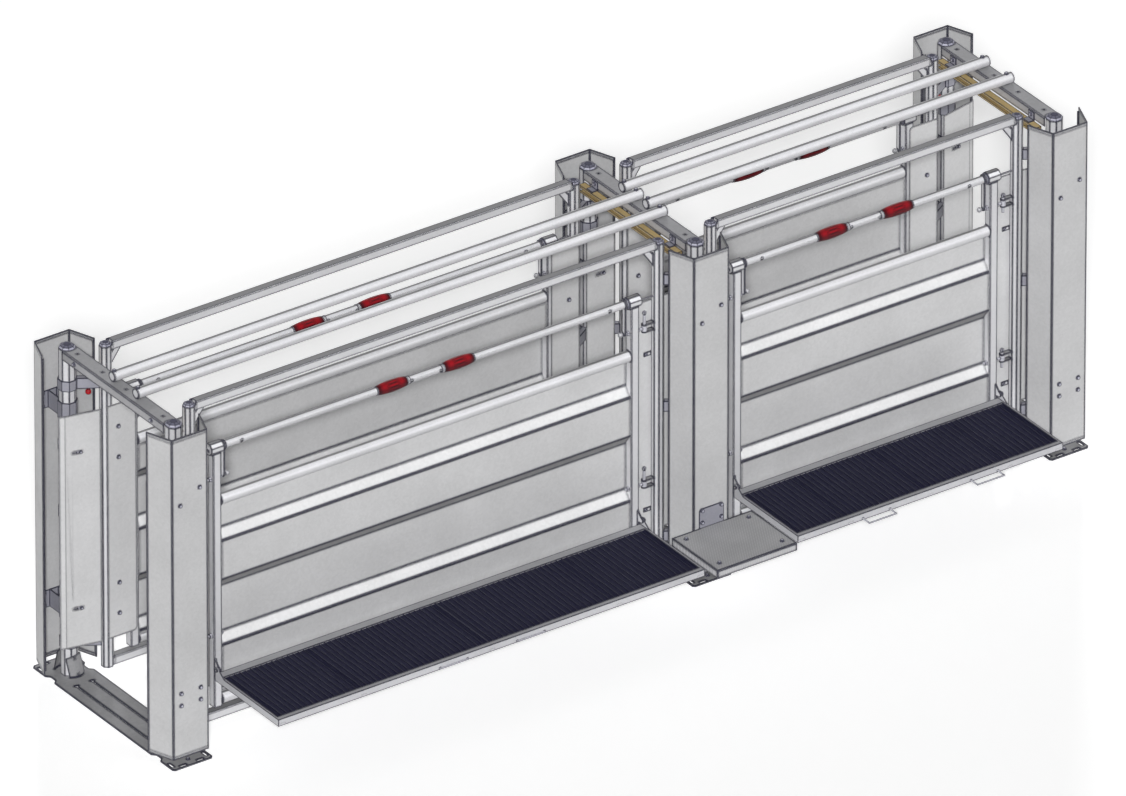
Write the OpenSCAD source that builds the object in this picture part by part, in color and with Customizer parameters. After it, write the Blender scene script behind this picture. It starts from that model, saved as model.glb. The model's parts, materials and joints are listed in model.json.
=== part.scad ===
// Two-bay livestock handling race: three portals joined by side frames, with
// four swinging corrugated panels, turning control bars and folding walkways.
// The origin is the middle of the underside of the middle portal's base plate.
// +X runs along the race, -Y is the walkway side, +Z is up. Sizes are in mm.

/* [Race] */
// Distance between the first and the middle portal
long_bay = 3200; // [2400:10:4000]
// Distance between the middle and the last portal
short_bay = 2232; // [2000:4:2800]
// Half the distance between the two side frames, tube centre to tube centre
side_y = 371; // [340:1:420]
// How far the columns stand outside the side frames
column_setback = 102; // [90:1:120]
// Distance along the race from a portal to the posts of a side frame
post_x = 162; // [150:1:180]
// Distance along the race from a portal to the drop pins
pin_x = 245; // [235:1:255]
// Distance along the race from a portal to the middle of a panel upright
upright_x = 317; // [310:1:330]

/* [Portals] */
// Width of an eight-sided column across its flats
column_s = 85; // [76:1:90]
// Wall of a column
column_wall = 4; // [3:0.5:6]
// Height of a column's tube
column_top = 1905; // [1895:1:1950]
// Width of a crossbeam along the race
beam_w = 93; // [80:1:98]
// Depth of a crossbeam
beam_h = 52; // [45:1:60]
// Sheet of a crossbeam
beam_wall = 4; // [3:0.5:6]
// Width of a base plate along the race
base_w = 244; // [230:1:270]
// How far a base plate reaches outside its columns
base_reach = 161; // [155:1:190]
// Thickness of a base plate
base_t = 8; // [6:1:12]
// Distance from a portal to its door guide slots
guide_x = 48; // [40:1:60]
// Length of a door guide slot
guide_l = 700; // [500:10:720]
// Width of a door guide slot
guide_w = 8; // [6:0.5:12]

/* [Casings] */
// Width of the flat web of a casing
casing_web = 215; // [190:1:230]
// Width of the mouth of a casing
casing_mouth = 326; // [300:1:350]
// Depth of a casing across the race
casing_depth = 149; // [140:1:155]
// Distance from a column's axis to the outer face of a casing
casing_reach = 140; // [130:1:150]
// Sheet of a casing
casing_t = 3; // [2:0.5:4]
// Height of a casing's lower edge
casing_low = 50; // [30:1:80]
// Width of the return lips of a casing
lip_w = 15; // [10:1:25]

/* [Side frames] */
// Width of an eight-sided side frame post across its flats
post_s = 63; // [56:1:68]
// Wall of a post
post_wall = 3.2; // [2:0.1:5]
// Height of the lower end of a post
post_low = 47; // [45:1:60]
// Outside size of the square rails
rail_s = 50; // [40:1:60]
// Wall of the square tubes
rail_wall = 3; // [2:0.5:4]
// Height of the middle of the bottom rails
low_rail_z = 73; // [72:1:82]

/* [Panels] */
// Outside size of a panel upright
upright_s = 50; // [40:1:60]
// Height of the lower end of an upright
upright_low = 117; // [116:1:125]
// Diameter of the panel's cross tubes
panel_tube_d = 60.3; // [48.3:0.1:63.5]
// Distance from a control bar down to the upper cross tube
panel_tube_drop = 309; // [290:1:330]
// Height of the lower cross tube
panel_low_z = 150; // [146:1:160]
// Thickness of the corrugated sheet
sheet_t = 2.5; // [1.5:0.5:4]
// Depth of the corrugations
wave_d = 42; // [30:1:46]
// Distance from a control bar down to the upper hinge and latch
upper_latch_drop = 177; // [165:1:190]
// Height of the lower hinge and latch
lower_latch_z = 530; // [500:1:600]
// Diameter of a drop pin
pin_d = 16; // [12:1:20]
// Clear height between the two ears that hold a drop pin
ear_gap = 35; // [30:1:40]
// Thickness of an ear
ear_t = 6; // [4:1:8]

/* [Control bars] */
// Diameter of a control bar
bar_d = 42.4; // [33.7:0.1:48.3]
// Height of a control bar
bar_z = 1617; // [1600:1:1640]
// Width of an eight-sided bearing across its flats
bearing_s = 64; // [60:1:72]
// Length of a bearing
bearing_l = 76; // [60:1:84]
// Distance from a portal to the levers of a control bar
lever_x = 369; // [366:1:390]
// Length of a lever, from the bar's axis to its knob
lever_l = 172; // [150:1:190]
// Distance of each grip from the middle of its bar
grip_x = 204; // [150:1:260]
// Length of a grip
grip_l = 173; // [150:1:190]
// Largest diameter of a grip
grip_d = 63; // [58:1:70]

/* [Walkways] */
// Distance along the race from a portal to the end of a walkway
walk_x = 289; // [285:1:310]
// Distance from the middle of the race to the inner edge of a walkway
walk_in = 408; // [404:1:420]
// Width of a walkway
walk_w = 560; // [450:10:700]
// Height of a walkway's upper face
walk_z = 326; // [310:1:340]
// Depth of a walkway's frame
walk_h = 40; // [36:1:50]
// Distance between the bars of a grating along the race
bar_pitch = 33; // [30:1:66]
// Distance between the cross ties of a grating
tie_pitch = 79; // [50:1:100]

/* [Platform] */
// Length of the middle platform along the race
platform_l = 494; // [460:1:520]
// Width of the middle platform
platform_w = 402; // [300:1:450]
// Height of the platform's upper face
platform_z = 327; // [320:1:340]
// Depth of the platform's skirt
platform_h = 44; // [40:1:60]

/* [Roof tubes] */
// Diameter of a roof tube
roof_d = 57; // [48:1:60]
// Distance between neighbouring roof tube places across the race
roof_pitch = 105; // [80:1:120]

/* [Hidden] */
$fn = 48;

// Clearance of a running fit on the radius
run_gap = 0.08;
// Clearance between pieces that move past each other
move_gap = 0.3;
// Clearance of a bolt in its hole, on the radius
hole_gap = 0.4;

steel = [0.74, 0.75, 0.76];
pale = [0.88, 0.89, 0.90];
dark = [0.30, 0.30, 0.36];
tan = [0.76, 0.67, 0.46];
red = [0.60, 0.06, 0.10];
navy = [0.16, 0.16, 0.26];

portals = [-long_bay, 0, short_bay];
column_y = side_y + column_setback;
casing_y = column_y + casing_reach;
beam_top = column_top + 3;
casing_high = column_top + 5;
top_rail_z = column_top + 5;
post_high = top_rail_z + 5;
upper_latch_z = bar_z - upper_latch_drop;
panel_tube_z = bar_z - panel_tube_drop;
lining_y = side_y - 34;
levels = [upper_latch_z, lower_latch_z];
bolt_d = 12;

// Unit vector to the left of the way from a to b
function left_of(a, b) = [a[1] - b[1], b[0] - a[0]] / norm(b - a);
function miter(p, i, t) =
    i == 0 ? p[0] + t * left_of(p[0], p[1])
    : i == len(p) - 1 ? p[i] + t * left_of(p[i - 1], p[i])
    : let (n = left_of(p[i - 1], p[i]), m = left_of(p[i], p[i + 1]))
        p[i] + t * (n + m) / (1 + n * m);

// Section of a folded sheet: a run of points, thickened on its left
module folded(p, t) {
    polygon(concat(p, [for (i = [len(p) - 1:-1:0]) miter(p, i, t)]));
}

module at_portal(i) {
    translate([portals[i], 0, 0]) children();
}

module both_sides() {
    children();
    mirror([0, 1, 0]) children();
}

// Far side for s = 1, near side for s = -1
module on_side(s) {
    if (s > 0) children();
    else mirror([0, 1, 0]) children();
}

// Both ends of a bay: what is drawn sits at its left end, +X into the bay
module bay_ends(b) {
    translate([portals[b], 0, 0]) children();
    translate([portals[b + 1], 0, 0]) mirror([1, 0, 0]) children();
}

function bay_mid(b) = (portals[b] + portals[b + 1]) / 2;
function bay_l(b) = portals[b + 1] - portals[b];

// Solid that is extruded along X from x0 to x1, its section drawn in Y and Z
module along_x(x0, x1) {
    translate([x0, 0, 0]) rotate([90, 0, 90]) linear_extrude(x1 - x0) children();
}

// Eight-sided section, s across its flats
module octagon(s) {
    rotate(22.5) circle(d = s / cos(22.5), $fn = 8);
}

module round_square(s, r) {
    square([s, s - 2 * r], center = true);
    square([s - 2 * r, s], center = true);
    for (x = [-1, 1], y = [-1, 1])
        translate([x * (s / 2 - r), y * (s / 2 - r)]) circle(r, $fn = 24);
}

module square_ring(s, wall) {
    difference() {
        round_square(s, 2 * wall);
        round_square(s - 2 * wall, wall);
    }
}

module slot(l, w) {
    square([l - w, w], center = true);
    for (x = [-1, 1]) translate([x * (l - w) / 2, 0]) circle(d = w, $fn = 24);
}

// Bolt head, washer and shank; the washer's face is at the origin, head on +Z
module bolt(l, d = bolt_d) {
    cylinder(d = 2 * d, h = 2, $fn = 32);
    translate([0, 0, 2]) cylinder(d = 1.85 * d, h = 0.6 * d, $fn = 6);
    translate([0, 0, -l]) cylinder(d = d, h = l, $fn = 24);
}

// Dome of a nut: its rim is at the origin, the dome on +Z
module cap(d, h) {
    rotate_extrude() polygon(concat([[0, 0], [d / 2, 0]],
        [for (a = [0:15:90]) [d / 2 - h * 0.7 + h * 0.7 * cos(a), h * 0.3 + h * 0.7 * sin(a)]],
        [[0, h]]));
}

// Bevelled plug that closes an eight-sided tube: its rim is at the origin, its top on +Z
module tube_cap(s, h) {
    rotate(22.5) rotate_extrude($fn = 8) scale([1 / cos(22.5), 1])
        polygon([[0, 0], [s / 2, 0], [s / 2, 0.1 * h], [0.4 * s, 0.65 * h], [0.2 * s, h], [0, h]]);
}

// Base plates: their relief notches, anchor slots and corners
base_y = column_y + base_reach;
notch_l = 82;
notch_in = 20;
anchor_w = 14;
anchor_l = 45;
anchor_x = 52;
anchor_y = base_y - 18;
screw_y = base_y - 52;
side_slot_x = base_w / 2 - 20;
side_slot_y = base_y - 51;
corner = 12;

function quarter(x) = [
    [x, column_y - notch_l / 2],
    [x - notch_in, column_y - notch_l / 2 + notch_in],
    [x - notch_in, column_y + notch_l / 2 - notch_in],
    [x, column_y + notch_l / 2],
    [x, base_y - corner],
    [x - corner, base_y]
];
function turned(p, mx, my, back) =
    [for (i = [0:len(p) - 1]) let (q = p[back ? len(p) - 1 - i : i]) [q[0] * mx, q[1] * my]];

module base_outline() {
    q = quarter(base_w / 2);
    polygon(concat(turned(q, 1, 1, false), turned(q, -1, 1, true),
        turned(q, -1, -1, false), turned(q, 1, -1, true)));
}

module base_slots() {
    for (x = [-1, 1], y = [-1, 1]) {
        translate([x * anchor_x, y * anchor_y]) slot(anchor_l, anchor_w);
        translate([x * side_slot_x, y * side_slot_y]) rotate(90) slot(anchor_l, anchor_w);
        translate([0, y * screw_y]) circle(d = bolt_d + 2 * hole_gap, $fn = 24);
    }
    for (x = [-1, 1]) translate([x * guide_x, 0]) {
        rotate(90) slot(guide_l, guide_w);
        for (y = [-1, 1]) translate([0, y * (guide_l / 2 - guide_w)]) slot(4 * guide_w, guide_w);
    }
}

// Curved tab with rounded corners and two rivets, its lower edge at the origin
tab_w = 90;
tab_h = 126;
tab_r = 75;
tab_t = 3;
tab_corner = 10;
module foot_tab() {
    intersection() {
        translate([0, tab_r, 0]) difference() {
            cylinder(r = tab_r, h = tab_h);
            translate([0, 0, -1]) cylinder(r = tab_r - tab_t, h = tab_h + 2);
        }
        rotate([90, 0, 0]) linear_extrude(tab_r, center = true) {
            translate([tab_corner - tab_w / 2, 0]) square([tab_w - 2 * tab_corner, tab_h]);
            translate([-tab_w / 2, tab_corner]) square([tab_w, tab_h - 2 * tab_corner]);
            for (x = [-1, 1], z = [tab_corner, tab_h - tab_corner])
                translate([x * (tab_w / 2 - tab_corner), z]) circle(tab_corner, $fn = 24);
        }
    }
    for (z = [16, tab_h - 16]) translate([0, 1, z]) rotate([90, 0, 0]) cylinder(d = 11, h = 4, $fn = 24);
}

// Base plate with both feet, their anchor slots and the door guide slots
module base(i) {
    color(steel) at_portal(i) {
        linear_extrude(base_t) difference() {
            base_outline();
            base_slots();
        }
        if (i == 0) {
            translate([14, column_y - 64, base_t]) rotate([-6, -9, 0]) foot_tab();
            translate([-4, column_y + 88, base_t - 3]) rotate([0, 0, 180]) rotate([-14, 0, 0]) foot_tab();
        }
    }
}

module columns() {
    color(pale) for (i = [0:2]) at_portal(i) both_sides()
        translate([0, column_y, base_t]) linear_extrude(column_top - base_t) difference() {
            octagon(column_s);
            octagon(column_s - 2 * column_wall);
        }
}

module tube_caps() {
    color(dark) {
        for (i = [0:2]) at_portal(i) both_sides()
            translate([0, column_y, column_top]) tube_cap(column_s, 20);
        for (b = [0, 1]) bay_ends(b) both_sides() translate([post_x, side_y, 0]) {
            translate([0, 0, post_high]) tube_cap(post_s, 17);
            translate([0, 0, post_low]) mirror([0, 0, 1]) tube_cap(post_s, 5);
        }
    }
}

// Folded channel that joins the heads of two columns
beam_hole_in = 92;
module crossbeams() {
    color(steel) for (i = [0:2]) at_portal(i) difference() {
        rotate([90, 0, 0]) translate([0, beam_top, -column_y + column_s / 4])
            linear_extrude(2 * column_y - column_s / 2) difference() {
                translate([0, -beam_w / 2]) round_square(beam_w, 8);
                translate([0, -beam_w / 2]) round_square(beam_w - 2 * beam_wall, 8 - beam_wall);
                translate([-beam_w, -beam_h - beam_w]) square([2 * beam_w, beam_w]);
            }
        both_sides() {
            translate([0, column_y, beam_top - beam_w]) linear_extrude(2 * beam_w)
                octagon(column_s + 2 * run_gap);
            translate([-beam_w, hanger_y, beam_top - beam_h / 2]) rotate([0, 90, 0])
                cylinder(d = bolt_d + 2 * hole_gap, h = 2 * beam_w, $fn = 24);
            translate([0, column_y - beam_hole_in, beam_top - 20])
                cylinder(d = bolt_d + 2 * hole_gap, h = 40, $fn = 24);
        }
        for (y = roof_places()) translate([0, y, beam_top - 20]) cylinder(d = bolt_d + 2 * hole_gap, h = 40);
    }
}

// The crossbeams are drilled for a roof tube at each place
function roof_places() = [for (k = [-1.5:1:1.5]) k * roof_pitch];
// Places of the long bay's and the short bay's roof tubes
roof_y = [[0.5 * roof_pitch, -1.5 * roof_pitch], [1.5 * roof_pitch, -0.5 * roof_pitch]];
roof_before = 15;
roof_after = 33;
roof_wall = 3;
roof_end_t = 3;

module roof_tubes() {
    color(pale) for (b = [0, 1], y = roof_y[b]) difference() {
        translate([0, y, beam_top + roof_d / 2 + run_gap]) difference() {
            translate([portals[b] - roof_before, 0, 0]) rotate([0, 90, 0])
                cylinder(d = roof_d, h = bay_l(b) + roof_before + roof_after);
            translate([portals[b] - roof_before + roof_end_t, 0, 0]) rotate([0, 90, 0])
                cylinder(d = roof_d - 2 * roof_wall,
                    h = bay_l(b) + roof_before + roof_after - 2 * roof_end_t);
        }
        for (e = [0, 1]) translate([portals[b + e], y, beam_top])
            cylinder(d = bolt_d + 2 * hole_gap, h = roof_d + 10);
    }
}

// Casing bolts: their places across the web and their heights
casing_bolt_x = 59;
low_bolts = [356, 426];
high_bolts = [column_top - 387, column_top - 316];
bracket_h = 100;

function casing_bolt_list() = [
    for (x = [-1, 1], z = low_bolts) [x * casing_bolt_x, z],
    [-casing_bolt_x, high_bolts[0]], [casing_bolt_x, high_bolts[1]]
];

function casing_points() = [
    [casing_mouth / 2, casing_y - casing_depth], [casing_web / 2, casing_y],
    [-casing_web / 2, casing_y], [-casing_mouth / 2, casing_y - casing_depth]
];
function lip_points() = concat(
    [[casing_mouth / 2 - lip_w, casing_y - casing_depth]], casing_points(),
    [[-casing_mouth / 2 + lip_w, casing_y - casing_depth]]
);

module casings(i) {
    lip_start = 20;
    hem_h = 16;
    color(steel) at_portal(i) both_sides() difference() {
        union() {
            translate([0, 0, casing_low]) linear_extrude(casing_high - casing_low)
                folded(casing_points(), casing_t);
            translate([0, 0, casing_low + lip_start])
                linear_extrude(casing_high - casing_low - 2 * lip_start)
                folded(lip_points(), casing_t);
            for (z = [casing_low, casing_high - hem_h]) translate([0, 0, z]) linear_extrude(hem_h)
                folded(casing_points(), 2 * casing_t);
        }
        for (p = casing_bolt_list()) translate([p[0], casing_y - 10, p[1]]) rotate([-90, 0, 0])
            cylinder(d = bolt_d + 2 * hole_gap, h = 20, $fn = 24);
    }
}

// The sides of each portal on which a bay begins
bay_sides = [[1], [-1, 1], [-1]];

// Collars on the columns: one kind carries a casing, one a post, one a lining plate
collar_t = 6;
collar_z = [200, 960, column_top - 205];
collar_h = 60;
arm_w = 30;
stem_w = 40;
lining_levels = [441, upper_latch_z - 90];

module collar_ring() {
    octagon(column_s + 2 * collar_t);
}

module casing_collar() {
    back = casing_reach - casing_t;
    difference() {
        union() {
            collar_ring();
            for (x = [-26, 26]) translate([x - collar_t / 2, 0]) square([collar_t, back]);
            translate([-casing_bolt_x - 22, back - collar_t])
                square([2 * casing_bolt_x + 44, collar_t]);
        }
        octagon(column_s + 2 * run_gap);
    }
}

module post_collar(i) {
    difference() {
        union() {
            collar_ring();
            for (d = bay_sides[i]) scale([d, 1]) rotate(atan2(-column_setback, post_x))
                translate([0, -arm_w / 2]) square([norm([post_x, column_setback]), arm_w]);
        }
        octagon(column_s + 2 * run_gap);
        for (d = bay_sides[i]) translate([d * post_x, -column_setback])
            octagon(post_s + 2 * run_gap);
    }
}

module lining_collar(i) {
    x = stem_w / 2;
    difference() {
        union() {
            collar_ring();
            polygon([[-x, 0], [-x, lining_face(i, -x) - column_y],
                [x, lining_face(i, x) - column_y], [x, 0]]);
        }
        octagon(column_s + 2 * run_gap);
    }
}

module column_clamps() {
    color(steel) for (i = [0:2]) at_portal(i) both_sides() translate([0, column_y, 0]) {
        for (z = [low_bolts, high_bolts])
            translate([0, 0, (z[0] + z[1]) / 2 - bracket_h / 2]) difference() {
                linear_extrude(bracket_h) casing_collar();
                for (x = [-1, 1], k = [-1, 1])
                    translate([x * casing_bolt_x, casing_reach - 20, bracket_h / 2 + k * (z[1] - z[0]) / 2])
                    rotate([-90, 0, 0]) cylinder(d = bolt_d + 2 * hole_gap, h = 30, $fn = 24);
            }
        for (z = collar_z) translate([0, 0, z - collar_h / 2])
            linear_extrude(collar_h) post_collar(i);
    }
    color(steel) for (i = [0:2], z = lining_levels) at_portal(i) both_sides() difference() {
        translate([0, column_y, z - collar_h / 2]) linear_extrude(collar_h) lining_collar(i);
        at_lining_bolt(i, z) translate([0, 0, -lining_bolt_l - 1])
            cylinder(d = lining_bolt_d + 2 * hole_gap, h = lining_bolt_l + 2, $fn = 24);
    }
}

// Lining plates close the corners between the columns and the passage.
// At both ends of the race they flare outwards to lead the animals.
lining_low = 216;
lining_high = upper_latch_z + 134;
lining_flare = 40;
flare_x = [-82, 110];
flare_lip = [32, 12];
middle_plate = [-108, 71];
lining_slot_l = 56;
lining_slot_x = -18;
lining_bolt_d = 10;
lining_bolt_l = sheet_t + 12;
flare_angle = atan2(lining_flare, flare_x[1] - flare_x[0]);
// +1 where the plate flares at its left end, -1 at its right end, 0 where it is flat
flare_way = [1, 0, -1];

// Distance from the middle of the race to the outer face of a lining plate at x
function lining_face(i, x) = lining_y + (i == 1 ? sheet_t
    : lining_flare * (flare_x[1] - flare_way[i] * x) / (flare_x[1] - flare_x[0])
        + sheet_t / cos(flare_angle));

module lining_section(i) {
    if (i == 1)
        translate([middle_plate[0], lining_y]) square([middle_plate[1] - middle_plate[0], sheet_t]);
    else scale([flare_way[i], 1]) folded([
        [flare_x[0] - flare_lip[0], lining_y + lining_flare + flare_lip[1]],
        [flare_x[0], lining_y + lining_flare], [flare_x[1], lining_y]], sheet_t);
}

// Place of a lining bolt: its washer lies on the plate's passage side, head inwards
module at_lining_bolt(i, z) {
    translate([0, lining_face(i, 0) - sheet_t / cos(flare_angle * abs(flare_way[i])), z])
        rotate([90, 0, -flare_way[i] * flare_angle]) children();
}

module lining_plates() {
    color(steel) for (i = [0:2]) at_portal(i) both_sides() difference() {
        translate([0, 0, lining_low]) linear_extrude(lining_high - lining_low) lining_section(i);
        for (z = lining_levels) at_lining_bolt(i, z)
            translate([lining_slot_x, 0, -10]) linear_extrude(20)
                slot(lining_slot_l, lining_bolt_d + 2 * hole_gap);
    }
}

// Infill plates close the gap between a post and a panel on the passage side
infill_x = [147, 325];
infill_r = 20;
infill_bolt_x = 215;
infill_y = side_y - post_s / 2;
infill_bolts = [lower_latch_z - 178, lower_latch_z, upper_latch_z - 178, upper_latch_z];

module infill_plates() {
    h = lining_high - lining_low;
    w = infill_x[1] - infill_x[0];
    color(steel) for (b = [0, 1]) bay_ends(b) both_sides()
        translate([infill_x[0], infill_y, lining_low]) rotate([90, 0, 0]) linear_extrude(sheet_t)
        difference() {
            union() {
                square([w - infill_r, h]);
                translate([0, infill_r]) square([w, h - 2 * infill_r]);
                for (z = [infill_r, h - infill_r]) translate([w - infill_r, z]) circle(infill_r);
            }
            for (z = infill_bolts) translate([infill_bolt_x - infill_x[0], z - lining_low])
                circle(d = bolt_d + 2 * hole_gap, $fn = 24);
        }
}

// Track for a sliding door: a C section with its slot towards the bay
track_s = 40;
track_t = 2.5;
track_slot = 15;
track_x = beam_w / 2 + 2.5;
track_top = beam_top - beam_h - 6;
track_l = 2 * column_y - column_s - 2;
hanger_y = 342;
hanger_w = 50;
hanger_t = 6;

module track_section() {
    s = track_s;
    e = (track_s - track_slot) / 2;
    folded([[s, -e], [s, 0], [0, 0], [0, -s], [s, -s], [s, -s + e]], track_t);
}

module door_rails() {
    color(tan) for (i = [0:2]) at_portal(i) for (d = bay_sides[i]) scale([d, 1, 1])
        translate([track_x, track_l / 2, track_top]) rotate([90, 0, 0]) linear_extrude(track_l)
            track_section();
}

module rail_brackets() {
    color(dark) for (i = [0:2]) at_portal(i) both_sides() for (d = bay_sides[i])
        scale([d, 1, 1]) difference() {
            translate([0, hanger_y + hanger_w / 2, 0]) rotate([90, 0, 0]) linear_extrude(hanger_w)
                polygon([[beam_w / 2, track_top], [track_x + track_s - 4, track_top],
                    [track_x + track_s - 4, track_top + hanger_t],
                    [beam_w / 2 + hanger_t, track_top + hanger_t],
                    [beam_w / 2 + hanger_t, beam_top - 10], [beam_w / 2, beam_top - 10]]);
            translate([0, hanger_y, beam_top - beam_h / 2]) rotate([0, 90, 0])
                cylinder(d = bolt_d + 2 * hole_gap, h = beam_w, $fn = 24);
        }
}

// Ears on a post that hold a drop pin, and the arm that carries the infill plate
ear_r = 16;
module ear_section() {
    difference() {
        union() {
            translate([pin_x, side_y]) circle(ear_r);
            translate([post_x, side_y - ear_r]) square([pin_x - post_x, 2 * ear_r]);
        }
        translate([post_x, side_y]) octagon(post_s - 1);
        translate([pin_x, side_y]) circle(d = pin_d + 2 * run_gap);
    }
}

module ears() {
    for (z = levels, k = [-1, 1])
        translate([0, 0, z + k * (ear_gap + ear_t) / 2 - ear_t / 2])
            linear_extrude(ear_t) ear_section();
    // Spacer arms behind the infill plate's bolts
    for (z = infill_bolts)
        translate([post_x, infill_y, z]) rotate([-90, 0, 0]) translate([0, 0, run_gap])
            linear_extrude(ear_t) difference() {
                translate([0, -12]) square([infill_bolt_x - post_x + 14, 24]);
                translate([infill_bolt_x - post_x, 0]) circle(d = bolt_d + 2 * hole_gap, $fn = 24);
            }
}

gusset_w = 70;
gusset_h = 100;
gusset_t = 5;
gusset_clip = 26;
module side_frame(s, b) {
    rail_half = bay_l(b) / 2 - post_x;
    color(pale) on_side(s) difference() {
        union() {
            bay_ends(b) {
                translate([post_x, side_y, post_low])
                    linear_extrude(post_high - post_low) octagon(post_s);
                ears();
                translate([post_x, side_y + gusset_t / 2, top_rail_z - rail_s / 2 - run_gap])
                    rotate([90, 0, 0])
                    linear_extrude(gusset_t) difference() {
                        polygon([[0, 0], [post_s / 2 + gusset_w, 0],
                            [post_s / 2, -gusset_h], [0, -gusset_h]]);
                        translate([post_s / 2, 0])
                            polygon([[-2, 1], [gusset_clip, 1], [-2, -gusset_clip - 6]]);
                    }
            }
            for (z = [top_rail_z, low_rail_z])
                translate([0, side_y, z]) along_x(bay_mid(b) - rail_half, bay_mid(b) + rail_half)
                    round_square(rail_s, 2 * rail_wall);
        }
        for (z = [top_rail_z, low_rail_z])
            translate([0, side_y, z])
                along_x(bay_mid(b) - rail_half + post_s / 2, bay_mid(b) + rail_half - post_s / 2)
                round_square(rail_s - 2 * rail_wall, rail_wall);
        bay_ends(b) translate([post_x, side_y, post_low - 1]) {
            linear_extrude(post_high - post_low + 2) octagon(post_s - 2 * post_wall);
            translate([0, 0, post_high - post_low + 1]) linear_extrude(rail_s) octagon(post_s + 2 * run_gap);
        }
        // The top rail is a piece of its own between the posts
        bay_ends(b) translate([post_x, side_y, top_rail_z - rail_s / 2 - run_gap])
            linear_extrude(2 * rail_s) difference() {
                octagon(post_s + 2 * run_gap);
                octagon(post_s);
            }
    }
}

// Drop pin: a plain shank with a flat eye on its head; its tip is at the origin
pin_l = 92;
head_r = 12;
module drop_pin(l) {
    translate([0, 0, 2]) cylinder(d = pin_d, h = l - 2);
    cylinder(d1 = pin_d - 4, d2 = pin_d, h = 2.001);
    translate([0, 4, l + head_r - 3]) rotate([90, 0, 0]) difference() {
        cylinder(r = head_r, h = 8);
        translate([0, 0, -1]) cylinder(r = 4, h = 10, $fn = 24);
    }
}

// Each panel hangs on the pins at one end of its bay, and latches at the other.
// The near long panel is hinged at the entry, the others downstream.
function hinge_end(s, b) = s < 0 && b == 0 ? 0 : 1;
function pin_place(b, e) = portals[b + e] + (e == 0 ? pin_x : -pin_x);
// A latch pin is drawn up just clear of its eye, so that the panel can swing
pin_drawn = ear_gap / 2 + 1;
pin_travel = 50;
latch_pin_l = pin_travel + 10;

module hinge_pins() {
    drop = ear_gap / 2 + ear_t + 34;
    color(pale) for (s = [-1, 1], b = [0, 1], z = levels)
        translate([pin_place(b, hinge_end(s, b)), s * side_y, z - drop]) drop_pin(pin_l);
}

module latch_pin(s, b, k) {
    color(pale) translate([pin_place(b, 1 - hinge_end(s, b)), s * side_y, levels[k] + pin_drawn])
        drop_pin(latch_pin_l);
}

// Eye bolts through the uprights of a panel, with a lock nut and a dome nut
eye_d = 30;
shank_d = 16;
nut_d = 27;
lock_nut_h = 13;
dome_nut_h = 11;
module eye_bolts(s, b) {
    out = upright_x + upright_s / 2;
    inn = upright_x - upright_s / 2;
    color(pale) on_side(s) bay_ends(b) for (z = levels) translate([0, side_y, z]) difference() {
        union() {
            translate([pin_x, 0, -ear_gap / 2 + move_gap]) cylinder(d = eye_d, h = ear_gap - 2 * move_gap);
            translate([pin_x, 0, 0]) rotate([0, 90, 0]) cylinder(d = shank_d, h = out - pin_x + 12);
            translate([inn - lock_nut_h, 0, 0]) rotate([0, 90, 0])
                cylinder(d = nut_d, h = lock_nut_h, $fn = 6);
            translate([out, 0, 0]) rotate([0, 90, 0]) cylinder(d = nut_d, h = dome_nut_h, $fn = 6);
            translate([out + dome_nut_h, 0, 0]) rotate([0, 90, 0]) cap(nut_d - 5, 9);
        }
        translate([pin_x, 0, -ear_gap]) cylinder(d = pin_d + 2 * run_gap, h = 2 * ear_gap);
    }
}

// Brackets on the near uprights that carry the hinge bolts of a walkway
hinge_y = walk_in + 18;
hinge_z = walk_z + 30;
bracket_x = walk_x + 6;
bracket_t = 8;
bracket_r = 16;
bracket_rise = 50;
hinge_bolt_d = 14;
hinge_head_h = 9;

module walkway_bracket() {
    face = side_y + upright_s / 2;
    stop_y = walk_in - move_gap;
    along_x(bracket_x, bracket_x + bracket_t) {
        translate([hinge_y, hinge_z]) circle(bracket_r);
        polygon([[face - 1, walk_z - walk_h], [stop_y, walk_z - walk_h],
            [stop_y, hinge_z - bracket_r], [hinge_y, hinge_z - bracket_r],
            [hinge_y, hinge_z + bracket_r], [face - 1, hinge_z + bracket_rise]]);
    }
    // Hinge bolt, with its head outside the walkway's ear
    translate([walk_x - 1, hinge_y, hinge_z]) rotate([0, 90, 0])
        cylinder(d = hinge_bolt_d, h = bracket_x - walk_x + 2);
    translate([walk_x - hinge_head_h - move_gap, hinge_y, hinge_z]) rotate([0, 90, 0])
        cylinder(d = 24, h = hinge_head_h, $fn = 6);
}

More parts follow.
